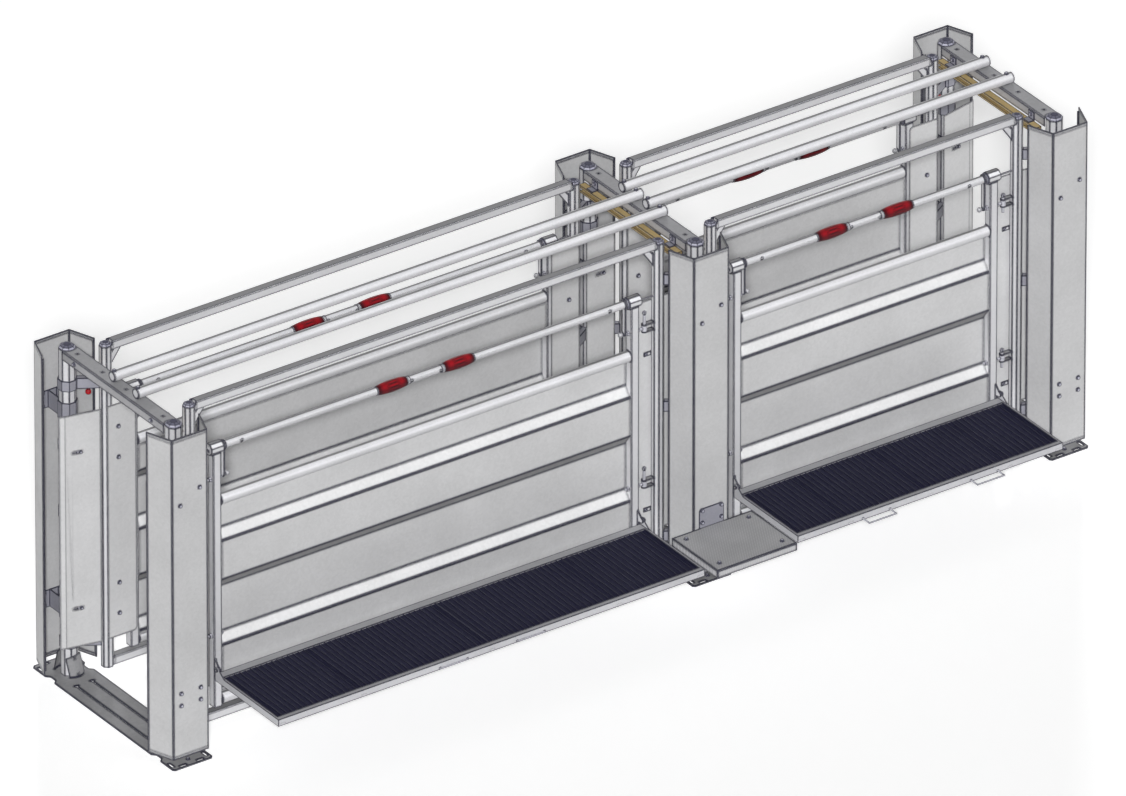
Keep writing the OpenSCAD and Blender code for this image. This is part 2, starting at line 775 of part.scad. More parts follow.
// Panel: two uprights and two cross tubes, with bearings for the control bar
rod_d = 12;
rod_drop = 8;
rod_gap = 1;
bearing_end = 3.5;
module panel(s, b) {
    half = bay_l(b) / 2 - upright_x - upright_s / 2;
    rod_x = post_x + post_s / 2 + rod_gap;
    tubes = [panel_tube_z, panel_low_z];
    color(pale) on_side(s) difference() {
        union() {
            bay_ends(b) {
                translate([upright_x, side_y, upright_low]) linear_extrude(bar_z - upright_low)
                    square_ring(upright_s, rail_wall);
                translate([upright_x - bearing_l / 2, side_y, bar_z]) rotate([0, 90, 0])
                    linear_extrude(bearing_l) octagon(bearing_s);
                translate([rod_x, side_y, bar_z - rod_drop]) rotate([0, 90, 0])
                    cylinder(d = rod_d, h = upright_x - bearing_l / 2 + bearing_end / 2 - rod_x);
                if (s < 0) walkway_bracket();
            }
            for (z = tubes) translate([bay_mid(b) - half - 1, side_y, z]) rotate([0, 90, 0])
                cylinder(d = panel_tube_d, h = 2 * half + 2);
        }
        for (z = tubes) translate([bay_mid(b) - half + 2, side_y, z]) rotate([0, 90, 0])
            cylinder(d = panel_tube_d - 2 * rail_wall, h = 2 * half - 4);
        bay_ends(b) {
            translate([upright_x - bearing_l / 2 + bearing_end, side_y, bar_z]) rotate([0, 90, 0])
                cylinder(d = bar_d + 2 * run_gap, h = 2 * bearing_l);
            for (z = levels) translate([upright_x - upright_s, side_y, z]) rotate([0, 90, 0])
                cylinder(d = shank_d + 2 * run_gap, h = 2 * upright_s);
        }
    }
}

// Corrugated sheet: the heights at which it steps out and back, top to bottom
sheet_in = side_y - 24;
step_h = 56;
steps_out = [panel_tube_z - 178, 524];
steps_in = [848, 254];

function sheet_points() = concat(
    [[sheet_in, panel_tube_z - tube_bite()]],
    [for (k = [0, 1]) each [
        [sheet_in, steps_out[k]], [sheet_in + wave_d, steps_out[k] - step_h],
        [sheet_in + wave_d, steps_in[k]], [sheet_in, steps_in[k] - step_h]
    ]],
    [[sheet_in, panel_low_z + tube_bite()]]
);
// Height over a tube's axis at which the sheet meets its surface
function tube_bite() = sqrt(pow(panel_tube_d / 2, 2) - pow(side_y - sheet_in - sheet_t, 2)) + 0.3;

module panel_sheet(s, b) {
    half = bay_l(b) / 2 - upright_x - upright_s / 2 - 0.2;
    color(steel) on_side(s) along_x(bay_mid(b) - half, bay_mid(b) + half)
        folded(sheet_points(), sheet_t);
}

// Control bar with its hanging levers and their ball knobs
lever_w = 28;
lever_t = 8;
lever_hub = 14;
bar_hole_d = 14;
bar_hole_x = 470;
knob_neck = 24;
module control_bar(s, b) {
    half = bay_l(b) / 2 - upright_x + bearing_l / 2 - 4;
    color(pale) on_side(s) translate([0, side_y, bar_z]) difference() {
        union() {
            translate([bay_mid(b) - half, 0, 0]) rotate([0, 90, 0]) cylinder(d = bar_d, h = 2 * half);
            bay_ends(b) {
                along_x(lever_x - lever_t / 2, lever_x + lever_t / 2) {
                    circle(d = bar_d + lever_hub);
                    translate([-lever_w / 2, -lever_l]) square([lever_w, lever_l]);
                    translate([0, -lever_l]) circle(d = lever_w);
                }
                translate([lever_x, 0, -lever_l]) rotate([0, 90, 0])
                    cylinder(d = lever_w - 16, h = knob_neck);
                translate([lever_x + knob_neck, 0, -lever_l]) sphere(d = lever_w);
            }
        }
        translate([bay_mid(b) - half + 4, 0, 0]) rotate([0, 90, 0])
            cylinder(d = bar_d - 2 * rail_wall, h = 2 * half - 8);
        for (x = [portals[b] + bar_hole_x, portals[b + 1] - bar_hole_x,
            bay_mid(b) - grip_x + grip_l / 2 + 2 * bar_hole_d,
            bay_mid(b) + grip_x - grip_l / 2 - 2 * bar_hole_d])
            translate([x, 0, 0]) rotate([90, 0, 0])
                cylinder(d = bar_hole_d, h = 2 * bar_d, center = true, $fn = 24);
    }
}

// Barrel grips with flats along their length
module grips(s, b) {
    end_d = 50;
    bulge = (grip_d - end_d) / 2;
    color(red) on_side(s) for (k = [-1, 1])
        translate([bay_mid(b) + k * grip_x, side_y, bar_z]) rotate([0, 90, 0]) difference() {
            intersection() {
                rotate_extrude() polygon(concat([[0, -grip_l / 2]],
                    [for (t = [-1:0.2:1]) [end_d / 2 + bulge * (1 - t * t), t * grip_l / 2]],
                    [[0, grip_l / 2]]));
                linear_extrude(grip_l, center = true) circle(d = grip_d, $fn = 10);
            }
            cylinder(d = bar_d + 2 * run_gap, h = grip_l + 2, center = true);
        }
}

// Walkway frame: folded edge strips, end plates with hinge ears, and a cross bearer
walk_t = 3;
front_strip = 27;
inner_strip = 50;
end_strip = 14;
bearer_w = 30;
grate_h = 25;
walk_out = walk_in + walk_w;
function walk_half(b) = bay_l(b) / 2 - walk_x;

module walkway_frame(b) {
    half = walk_half(b);
    z0 = walk_z - walk_h;
    color(steel) on_side(-1) {
        difference() {
            union() {
                along_x(bay_mid(b) - half, bay_mid(b) + half) {
                    folded([[walk_out - front_strip, walk_z], [walk_out, walk_z], [walk_out, z0],
                        [walk_out - front_strip, z0]], -walk_t);
                    folded([[walk_in + inner_strip, walk_z], [walk_in, walk_z], [walk_in, z0],
                        [walk_in + inner_strip, z0]], walk_t);
                }
                translate([portals[b], 0, 0]) walkway_end();
                translate([portals[b + 1], 0, 0]) mirror([1, 0, 0]) walkway_end();
                for (k = [-1, 0, 1]) translate([bay_mid(b) + k * half * 0.6 - bearer_w / 2, walk_in + 1, z0])
                    cube([bearer_w, walk_w - 2, walk_h - grate_h]);
            }
            for (k = [-1, 1], e = [-1, 1])
                translate([bay_mid(b) + k * handle_x[b] + e * handle_w / 2, walk_out - 10, handle_z])
                rotate([-90, 0, 0]) cylinder(d = handle_d + 2 * run_gap, h = 20, $fn = 24);
        }
    }
}

module walkway_end() {
    end_t = 5;
    along_x(walk_x, walk_x + end_t) difference() {
        union() {
            translate([walk_in, walk_z - walk_h]) square([walk_w, walk_h]);
            translate([hinge_y, hinge_z]) circle(18);
            polygon([[hinge_y - 18, walk_z - walk_h], [hinge_y + 60, walk_z - walk_h],
                [hinge_y + 60, walk_z], [hinge_y + 18, hinge_z], [hinge_y - 18, hinge_z]]);
        }
        translate([hinge_y, hinge_z]) circle(d = hinge_bolt_d + 2 * run_gap);
    }
    translate([walk_x, walk_in + 1, walk_z - walk_t]) cube([end_strip, walk_w - 2, walk_t]);
    translate([walk_x, walk_in + 1, walk_z - walk_h])
        cube([end_strip + bearer_w, walk_w - 2, walk_h - grate_h]);
}

// Pressed grating of bearing bars and cross ties inside an edge bar
module walkway_grating(b) {
    margin = move_gap;
    l = 2 * (walk_half(b) - end_strip - margin);
    w = walk_w - front_strip - inner_strip - 2 * margin;
    edge = 3;
    bars = floor((l - 2 * edge) / bar_pitch);
    ties = floor((w - 2 * edge) / tie_pitch);
    cell_x = (l - edge) / bars;
    cell_y = (w - edge) / ties;
    color(navy) on_side(-1)
        translate([bay_mid(b) - l / 2, walk_in + inner_strip + margin, walk_z - grate_h])
        linear_extrude(grate_h) difference() {
            square([l, w]);
            for (i = [0:bars - 1], k = [0:ties - 1])
                translate([edge + i * cell_x, edge + k * cell_y])
                    square([cell_x - edge, cell_y - edge]);
        }
}

// Pull handles that slide out of the front of a walkway
handle_x = [237, 337];
handle_w = 168;
handle_d = 10;
// The long walkway's handles are pushed in, the short one's are pulled out
handle_travel = 50;
handle_out = [handle_d + 1, handle_d + 1 + handle_travel];
handle_in = 40;
handle_z = walk_z - walk_h + walk_t + 6;

module walkway_handle(b, k) {
    y1 = walk_out + handle_out[b];
    y0 = y1 - handle_out[1] - handle_in;
    color(pale) on_side(-1) translate([bay_mid(b) + k * handle_x[b], 0, handle_z]) {
        for (e = [-1, 1]) translate([e * handle_w / 2, y0, 0]) rotate([-90, 0, 0])
            cylinder(d = handle_d, h = y1 - y0 - handle_d / 2, $fn = 24);
        for (e = [-1, 1]) translate([e * handle_w / 2, y1 - handle_d / 2, 0])
            sphere(d = handle_d, $fn = 24);
        translate([-handle_w / 2, y1 - handle_d / 2, 0]) rotate([0, 90, 0])
            cylinder(d = handle_d, h = handle_w, $fn = 24);
    }
}

// Middle platform: a folded tray on a bracket that is bolted over the casing
platform_y = casing_y + 6;
platform_t = 3;
platform_bolt_x = 194;
platform_bolt_y = [52, platform_w - 58];
plate_top = 436;
plate_w = 152;
module platform_deck() {
    x = platform_l / 2;
    color(steel) on_side(-1) translate([0, platform_y, platform_z]) difference() {
        translate([-x, 0, -platform_h]) cube([2 * x, platform_w, platform_h]);
        translate([-x + platform_t, platform_t, -platform_h - 1])
            cube([2 * (x - platform_t), platform_w - 2 * platform_t, platform_h - platform_t + 1]);
        translate([-plate_w / 2 - move_gap, -1, -platform_h - 1])
            cube([plate_w + 2 * move_gap, platform_t + 2, platform_h - platform_t + 1]);
        for (k = [-1, 1], y = platform_bolt_y)
            translate([k * platform_bolt_x, y, -20])
                cylinder(d = bolt_d + 2 * hole_gap, h = 40, $fn = 24);
    }
}

module platform_bracket() {
    arm_h = platform_h - platform_t;
    arm_t = 6;
    top = platform_z - platform_t;
    r = 20;
    color(steel) on_side(-1) difference() {
        union() {
            translate([0, platform_y, 0]) rotate([90, 0, 0]) linear_extrude(platform_y - casing_y) {
                translate([-plate_w / 2, top - arm_h]) square([plate_w, plate_top - r - top + arm_h]);
                translate([-plate_w / 2 + r, plate_top - r]) square([plate_w - 2 * r, r]);
                for (k = [-1, 1]) translate([k * (plate_w / 2 - r), plate_top - r]) circle(r);
            }
            for (k = [-1, 1]) translate([k * (plate_w / 2 - arm_t / 2) - arm_t / 2,
                platform_y - 1, top - arm_h])
                cube([arm_t, platform_w - platform_t + 0.8, arm_h]);
            for (y = platform_bolt_y)
                translate([-platform_l / 2 + platform_t + 1, platform_y + y - 20, top - arm_t])
                    cube([platform_l - 2 * platform_t - 2, 40, arm_t]);
        }
        for (x = [-1, 1], z = low_bolts) translate([x * casing_bolt_x, casing_y - 10, z])
            rotate([-90, 0, 0]) cylinder(d = bolt_d + 2 * hole_gap, h = 30, $fn = 24);
        for (k = [-1, 1], y = platform_bolt_y)
            translate([k * platform_bolt_x, platform_y + y, top - 10])
                cylinder(d = bolt_d + 2 * hole_gap, h = 20, $fn = 24);
    }
}

// Red knobs of the clamp screws on the far end posts
module lock_knobs() {
    at = 0.55;
    color(red) for (i = [0, 2]) at_portal(i) scale([i == 0 ? 1 : -1, 1, 1])
        translate([post_x * at, column_y - column_setback * at, collar_z[2] - collar_h / 2])
        mirror([0, 0, 1]) {
            cylinder(d = 10, h = 12);
            translate([0, 0, 12]) rotate_extrude()
                polygon([[0, 0], [9, 0], [15, 8], [15, 20], [11, 26], [0, 26]]);
        }
}

// Every bolt of the fixed structure
module frame_bolts() {
    color(dark) {
        for (i = [0:2]) at_portal(i) {
            both_sides() for (p = casing_bolt_list())
                if (i != 1 || p[1] > low_bolts[1])
                    translate([p[0], casing_y, p[1]]) rotate([-90, 0, 0]) bolt(casing_t + collar_t + 8);
            if (i == 1) for (x = [-1, 1], z = low_bolts) {
                translate([x * casing_bolt_x, -platform_y, z]) rotate([90, 0, 0]) bolt(24);
                translate([x * casing_bolt_x, casing_y, z]) rotate([-90, 0, 0])
                    bolt(casing_t + collar_t + 8);
            }
            for (d = bay_sides[i]) both_sides() scale([d, 1, 1])
                translate([beam_w / 2 + hanger_t, hanger_y, beam_top - beam_h / 2])
                rotate([0, 90, 0]) bolt(hanger_t + beam_wall + 8);
            if (i != 1) both_sides() scale([-bay_sides[i][0], 1, 1])
                translate([beam_w / 2, hanger_y, beam_top - beam_h / 2])
                rotate([0, 90, 0]) bolt(beam_wall + 8);
        }
        for (b = [0, 1], e = [0, 1], y = roof_y[b])
            translate([portals[b + e], y, beam_top + roof_d + run_gap]) bolt(roof_d + beam_wall + 6);
        for (i = [0:2]) at_portal(i) both_sides() translate([0, screw_y, base_t]) bolt(base_t - 0.5);
        for (i = [0:2]) at_portal(i) both_sides() for (z = lining_levels) at_lining_bolt(i, z)
            bolt(lining_bolt_l, lining_bolt_d);
        for (b = [0, 1]) bay_ends(b) both_sides() for (z = infill_bolts)
            translate([infill_bolt_x, infill_y - sheet_t, z]) rotate([90, 0, 0]) bolt(sheet_t + 12);
        for (k = [-1, 1], y = platform_bolt_y)
            translate([k * platform_bolt_x, -platform_y - y, platform_z]) bolt(platform_t + 12);
    }
}

base(0);  // entry_base
base(1);  // middle_base
base(2);  // exit_base
casings(0);  // entry_casings
casings(1);  // middle_casings
casings(2);  // exit_casings
columns();
crossbeams();
tube_caps();
column_clamps();
lining_plates();
infill_plates();
door_rails();
rail_brackets();
frame_bolts();
hinge_pins();
roof_tubes();
lock_knobs();
platform_deck();
platform_bracket();
side_frame(-1, 0);  // near_long_frame
side_frame(-1, 1);  // near_short_frame
side_frame(1, 0);  // far_long_frame
side_frame(1, 1);  // far_short_frame
panel(-1, 0);  // near_long_panel
panel(-1, 1);  // near_short_panel
panel(1, 0);  // far_long_panel
panel(1, 1);  // far_short_panel
panel_sheet(-1, 0);  // near_long_sheet
panel_sheet(-1, 1);  // near_short_sheet
panel_sheet(1, 0);  // far_long_sheet
panel_sheet(1, 1);  // far_short_sheet
eye_bolts(-1, 0);  // near_long_eye_bolts
eye_bolts(-1, 1);  // near_short_eye_bolts
eye_bolts(1, 0);  // far_long_eye_bolts
eye_bolts(1, 1);  // far_short_eye_bolts
control_bar(-1, 0);  // near_long_bar
control_bar(-1, 1);  // near_short_bar
control_bar(1, 0);  // far_long_bar
control_bar(1, 1);  // far_short_bar
grips(-1, 0);  // near_long_grips
grips(-1, 1);  // near_short_grips
grips(1, 0);  // far_long_grips
grips(1, 1);  // far_short_grips
latch_pin(-1, 0, 0);  // near_long_upper_pin
latch_pin(-1, 0, 1);  // near_long_lower_pin
latch_pin(-1, 1, 0);  // near_short_upper_pin
latch_pin(-1, 1, 1);  // near_short_lower_pin
latch_pin(1, 0, 0);  // far_long_upper_pin
latch_pin(1, 0, 1);  // far_long_lower_pin
latch_pin(1, 1, 0);  // far_short_upper_pin
latch_pin(1, 1, 1);  // far_short_lower_pin
walkway_frame(0);  // long_walkway_frame
walkway_frame(1);  // short_walkway_frame
walkway_grating(0);  // long_walkway_grating
walkway_grating(1);  // short_walkway_grating
walkway_handle(0, -1);  // long_walkway_left_handle
walkway_handle(0, 1);  // long_walkway_right_handle
walkway_handle(1, -1);  // short_walkway_left_handle
walkway_handle(1, 1);  // short_walkway_right_handle
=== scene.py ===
import json
import math

import bmesh
import bpy
from mathutils import Matrix, Vector


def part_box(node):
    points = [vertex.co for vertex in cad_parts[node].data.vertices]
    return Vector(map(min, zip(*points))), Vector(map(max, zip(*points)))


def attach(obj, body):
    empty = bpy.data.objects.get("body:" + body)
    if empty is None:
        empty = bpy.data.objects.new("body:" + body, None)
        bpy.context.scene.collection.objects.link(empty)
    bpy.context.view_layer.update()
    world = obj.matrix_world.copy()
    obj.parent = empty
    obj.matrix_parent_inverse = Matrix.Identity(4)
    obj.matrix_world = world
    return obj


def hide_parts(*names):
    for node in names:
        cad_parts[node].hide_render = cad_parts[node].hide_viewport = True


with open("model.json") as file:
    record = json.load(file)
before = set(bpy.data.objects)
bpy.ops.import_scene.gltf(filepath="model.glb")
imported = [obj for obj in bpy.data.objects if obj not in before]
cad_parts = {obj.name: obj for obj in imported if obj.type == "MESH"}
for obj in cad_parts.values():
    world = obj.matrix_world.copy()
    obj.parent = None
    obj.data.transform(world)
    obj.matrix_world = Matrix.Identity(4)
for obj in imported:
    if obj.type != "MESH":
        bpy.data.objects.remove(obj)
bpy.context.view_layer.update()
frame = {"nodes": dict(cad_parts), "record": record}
print("frame loaded:", len(frame["nodes"]), "nodes")

scene = bpy.context.scene
scene.view_settings.view_transform = "Standard"


# turns a camera or lamp so that it looks at the race from an azimuth and elevation
def aim(thing, azimuth, elevation):
    a = math.radians(azimuth)
    e = math.radians(elevation)
    back = Vector((math.sin(a) * math.cos(e), -math.cos(a) * math.cos(e), math.sin(e)))
    thing.rotation_mode = "QUATERNION"
    thing.rotation_quaternion = (-back).to_track_quat("-Z", "Y")
    return back


# camera, a long lens from the left and above
cameraSet = {
    "target": (-0.487, 0.0, 0.9346),
    "azimuth": -35.0,
    "elevation": 30.0,
    "lens": 1150.0,
    "sensor": 36.0,
    "frameWidth": 5.709,  # metres across the picture at the target
    "clipNear": 0.5,  # shares of the distance
    "clipFar": 3.0,
}


def makeCamera(spec):
    data = bpy.data.cameras.new("camera")
    data.lens = spec["lens"]
    data.sensor_width = spec["sensor"]
    distance = spec["frameWidth"] * spec["lens"] / spec["sensor"]
    data.clip_start = distance * spec["clipNear"]
    data.clip_end = distance * spec["clipFar"]
    camera = bpy.data.objects.new("camera", data)
    back = aim(camera, spec["azimuth"], spec["elevation"])
    camera.location = Vector(spec["target"]) + back * distance
    scene.collection.objects.link(camera)
    scene.camera = camera


makeCamera(cameraSet)
print("camera placed")


# node helpers; colours are written as screen values, 0 to 255
def linear(rgb):
    return [((c / 255 + 0.055) / 1.055) ** 2.4 if c > 10 else c / 255 / 12.92 for c in rgb] + [1.0]


def newMaterial(name):
    material = bpy.data.materials.new(name)
    material.use_nodes = True
    tree = material.node_tree
    return material, tree, tree.nodes["Principled BSDF"]


def addNode(tree, kind, inputs=None, **settings):
    node = tree.nodes.new(kind)
    for key, value in settings.items():
        setattr(node, key, value)
    for key, value in (inputs or {}).items():
        if isinstance(value, bpy.types.NodeSocket):
            tree.links.new(value, node.inputs[key])
        else:
            node.inputs[key].default_value = value
    return node


def remap(tree, value, low, high, fromLow=0.0, fromHigh=1.0):
    return addNode(tree, "ShaderNodeMapRange", {
        "Value": value, "From Min": fromLow, "From Max": fromHigh, "To Min": low, "To Max": high,
    }).outputs["Result"]


def multiply(tree, a, b):
    return addNode(tree, "ShaderNodeMath", {0: a, 1: b}, operation="MULTIPLY").outputs[0]


def scaleColour(tree, colour, brightness):
    return addNode(tree, "ShaderNodeVectorMath", {0: colour, "Scale": brightness},
                   operation="SCALE").outputs["Vector"]


def objectCoords(tree):
    return addNode(tree, "ShaderNodeTexCoord").outputs["Object"]


def noise(tree, coords, scale, detail):
    return addNode(tree, "ShaderNodeTexNoise", {
        "Vector": coords, "Scale": scale, "Detail": detail}).outputs["Fac"]


# noise spread between two values, as most of the texture lies between 0.3 and 0.7
def uneven(tree, coords, scaleAndDetail, low, high):
    return remap(tree, noise(tree, coords, *scaleAndDetail), low, high, 0.3, 0.7)


# how far a face looks up at rest: 1 on a level top, 0 on a wall, -1 underneath
def faceLevel(tree):
    normal = addNode(tree, "ShaderNodeTexCoord").outputs["Normal"]
    return addNode(tree, "ShaderNodeSeparateXYZ", {"Vector": normal}).outputs["Z"]


def addBump(tree, shader, height, strength, depth):
    bump = addNode(tree, "ShaderNodeBump", {"Height": height, "Strength": strength, "Distance": depth})
    tree.links.new(bump.outputs["Normal"], shader.inputs["Normal"])


# dark lines along the edges, where zinc and dirt gather
edgeSet = {
    "colour": (20, 20, 44),
    "radius": 0.015,
    "strength": 0.97,
    "samples": 8,
    "darkBelow": 0.995,  # agreement of the rounded normal with the true one
    "clearAbove": 0.9995,
}


def addEdges(tree, tint, line, radius, strength):
    bevel = addNode(tree, "ShaderNodeBevel", {"Radius": radius}, samples=edgeSet["samples"])
    normal = addNode(tree, "ShaderNodeNewGeometry").outputs["Normal"]
    agreement = addNode(tree, "ShaderNodeVectorMath", {0: bevel.outputs["Normal"], 1: normal},
                        operation="DOT_PRODUCT").outputs["Value"]
    agreement = addNode(tree, "ShaderNodeMath", {0: agreement}, operation="ABSOLUTE").outputs[0]
    dark = remap(tree, agreement, 1.0, 0.0, edgeSet["darkBelow"], edgeSet["clearAbove"])
    return addNode(tree, "ShaderNodeMix", {
        0: multiply(tree, dark, strength), 6: tint, 7: linear(line)}, data_type="RGBA").outputs[2]


# zinc finishes: how strongly spangles and stains show, gloss, metal and width of the edge lines,
# lift, a painted highlight on faces that look partly up, painted shade on level tops, and painted
# shade on faces that look down, given as their brightness with the levels where it is full and where it
# ends
zincFinishes = {
    "base_plate": {
        "colour": (150, 150, 152), "spangle": 0.05, "stain": 0.10, "gloss": 0.50, "metal": 0.10,
        "lift": 0.0, "topShade": 0.0},
    "casing_sheet": {
        "colour": (192, 192, 193), "spangle": 0.035, "stain": 0.05, "gloss": 0.42, "metal": 0.10},
    "corrugated_sheet": {
        "colour": (200, 200, 201), "spangle": 0.035, "stain": 0.05, "gloss": 0.42, "metal": 0.08,
        "edge": 0.022, "lift": 0.4, "underShade": (0.4, -0.35, -0.15)},
    "plate": {
        "colour": (208, 208, 209), "spangle": 0.03, "stain": 0.05, "gloss": 0.42, "metal": 0.10},
    "galvanised_tube": {
        "colour": (209, 209, 212), "spangle": 0.02, "stain": 0.05, "gloss": 0.40, "metal": 0.10,
        "edge": 0.012, "lift": 0.45, "topShade": 0.75, "underShade": (0.2, -0.82, -0.62)},
    "folded_channel": {
        "colour": (168, 168, 171), "spangle": 0.05, "stain": 0.08, "gloss": 0.48, "metal": 0.08,
        "lift": 0.0, "topShade": 0.1},
    "brackets": {
        "colour": (150, 150, 160), "spangle": 0.03, "stain": 0.08, "gloss": 0.42, "metal": 0.14,
        "edge": 0.008},
    "passivated_track": {
        "colour": (196, 172, 118), "spangle": 0.03, "stain": 0.12, "gloss": 0.38, "metal": 0.14,
        "edge": 0.007},
    "bolts": {
        "colour": (176, 176, 190), "spangle": 0.0, "stain": 0.12, "gloss": 0.38, "metal": 0.20,
        "edge": 0.006},
    "zinc_hardware": {
        "colour": (196, 196, 204), "spangle": 0.0, "stain": 0.08, "gloss": 0.30, "metal": 0.22,
        "edge": 0.005},
    "walkway_steel": {
        "colour": (198, 198, 202), "spangle": 0.03, "stain": 0.08, "gloss": 0.42, "metal": 0.10,
        "edge": 0.007, "topShade": 0.5},
    "grating": {
        "colour": (36, 36, 66), "spangle": 0.0, "stain": 0.15, "gloss": 0.42, "metal": 0.12},
}

# what all zinc shares; each noise has its scale and detail
zincGrain = {
    "stainNoise": (3.5, 5.0),
    "spangleScale": 85.0,
    "glossNoise": (22.0, 4.0),
    "glossSpread": 0.07,
    "grainNoise": (260.0, 3.0),
    "grainStrength": 0.05,
    "grainDepth": 0.001,
    # painted highlight on faces that look partly up and painted shade on level tops, each with the levels
    # where it starts and where it is full
    "lift": 0.2,
    "highlightLevels": (0.1, 0.55),
    "topShade": 0.2,
    "topShadeLevels": (0.93, 0.985),
}


def makeZinc(name, spec, grain):
    material, tree, shader = newMaterial(name)
    coords = objectCoords(tree)
    brightness = uneven(tree, coords, grain["stainNoise"], 1 - spec["stain"], 1 + spec["stain"])
    if spec["spangle"] > 0:
        cells = addNode(tree, "ShaderNodeTexVoronoi", {
            "Vector": coords, "Scale": grain["spangleScale"], "Randomness": 1.0})
        grey = addNode(tree, "ShaderNodeSeparateColor", {"Color": cells.outputs["Color"]}).outputs["Red"]
        spangles = remap(tree, grey, 1 - spec["spangle"], 1 + spec["spangle"])
        brightness = multiply(tree, brightness, spangles)
    level = faceLevel(tree)
    # painted highlight: faces that look partly up are made lighter
    lift = remap(tree, level, 1.0, 1 + spec.get("lift", grain["lift"]), *grain["highlightLevels"])
    brightness = multiply(tree, brightness, lift)
    # painted shade: level tops are made darker
    topShade = remap(tree, level, 1.0, 1 - spec.get("topShade", grain["topShade"]), *grain["topShadeLevels"])
    brightness = multiply(tree, brightness, topShade)
    # painted shade: faces that look down are made darker
    if "underShade" in spec:
        shade, full, end = spec["underShade"]
        brightness = multiply(tree, brightness, remap(tree, level, shade, 1.0, full, end))
    tint = scaleColour(tree, linear(spec["colour"])[:3], brightness)
    edge = spec.get("edge", edgeSet["radius"])
    colour = addEdges(tree, tint, edgeSet["colour"], edge, edgeSet["strength"])
    tree.links.new(colour, shader.inputs["Base Color"])
    gloss = uneven(tree, coords, grain["glossNoise"],
                   spec["gloss"] - grain["glossSpread"], spec["gloss"] + grain["glossSpread"])
    tree.links.new(gloss, shader.inputs["Roughness"])
    shader.inputs["Metallic"].default_value = spec["metal"]
    height = noise(tree, coords, *grain["grainNoise"])
    addBump(tree, shader, height, grain["grainStrength"], grain["grainDepth"])
    return material


# plastic finishes: colour of the sides and of the faces that look up, the levels between which
# one passes into the other, and colour and width of the edge lines
plasticFinishes = {
    "plastic_caps": {
        "colour": (176, 176, 192), "upper": (48, 48, 72), "rise": (0.88, 0.94), "line": (22, 22, 44),
        "edge": 0.008, "gloss": 0.45, "grain": 0.10, "shine": 0.4},
    "red_knob": {
        "colour": (176, 16, 26), "upper": (176, 16, 26), "rise": (0.88, 0.94), "line": (44, 4, 12),
        "edge": 0.005, "gloss": 0.25, "grain": 0.04, "shine": 0.4},
    # on the grip the lighter upper colour is a painted highlight and the darker side colour painted shade
    "red_grip": {
        "colour": (104, 4, 18), "upper": (164, 18, 30), "rise": (0.1, 0.7), "line": (30, 2, 12),
        "edge": 0.016, "gloss": 0.42, "grain": 0.12, "shine": 0.2},
}

# what all plastic shares
plasticGrain = {
    "wearNoise": (30.0, 4.0),
    "wear": 0.1,
    "lineStrength": 0.85,
    "glossNoise": (60.0, 3.0),
    "glossLess": 0.05,
    "glossMore": 0.08,
    "grainNoise": (900.0, 2.0),
    "grainDepth": 0.0006,
}


def makePlastic(name, spec, grain):
    material, tree, shader = newMaterial(name)
    coords = objectCoords(tree)
    wear = uneven(tree, coords, grain["wearNoise"], 1 - grain["wear"], 1 + grain["wear"])
    # faces that look up take the upper colour; on the grip this is a painted highlight
    rise = remap(tree, faceLevel(tree), 0.0, 1.0, *spec["rise"])
    base = addNode(tree, "ShaderNodeMix", {
        0: rise, 6: linear(spec["colour"]), 7: linear(spec["upper"])}, data_type="RGBA").outputs[2]
    tint = scaleColour(tree, base, wear)
    colour = addEdges(tree, tint, spec["line"], spec["edge"], grain["lineStrength"])
    tree.links.new(colour, shader.inputs["Base Color"])
    shader.inputs["Specular IOR Level"].default_value = spec["shine"]
    gloss = uneven(tree, coords, grain["glossNoise"],
                   spec["gloss"] - grain["glossLess"], spec["gloss"] + grain["glossMore"])
    tree.links.new(gloss, shader.inputs["Roughness"])
    height = noise(tree, coords, *grain["grainNoise"])
    addBump(tree, shader, height, spec["grain"], grain["grainDepth"])
    return material


# tread plate: fine raised lozenges on the folded tray, and skirts painted lighter as a painted highlight;
# shade and gloss are given beside the lozenges and on them, where they are worn smooth
treadPlate = {
    "colour": (176, 176, 178),
    "skirt": 1.32,
    "skirtLevels": (0.2, 0.8),
    "pitch": 0.0125,
    "turn": 0.5,  # half the angle of a lozenge
    "shade": (0.80, 1.10),
    "gloss": (0.53, 0.40),
    "stain": 0.08,
    "stainNoise": (6.0, 5.0),
    "metal": 0.12,
    "relief": 0.35,
    "reliefDepth": 0.001,
}
bandsPerUnit = 3.18  # bands of the wave texture in one unit of length, at scale 1


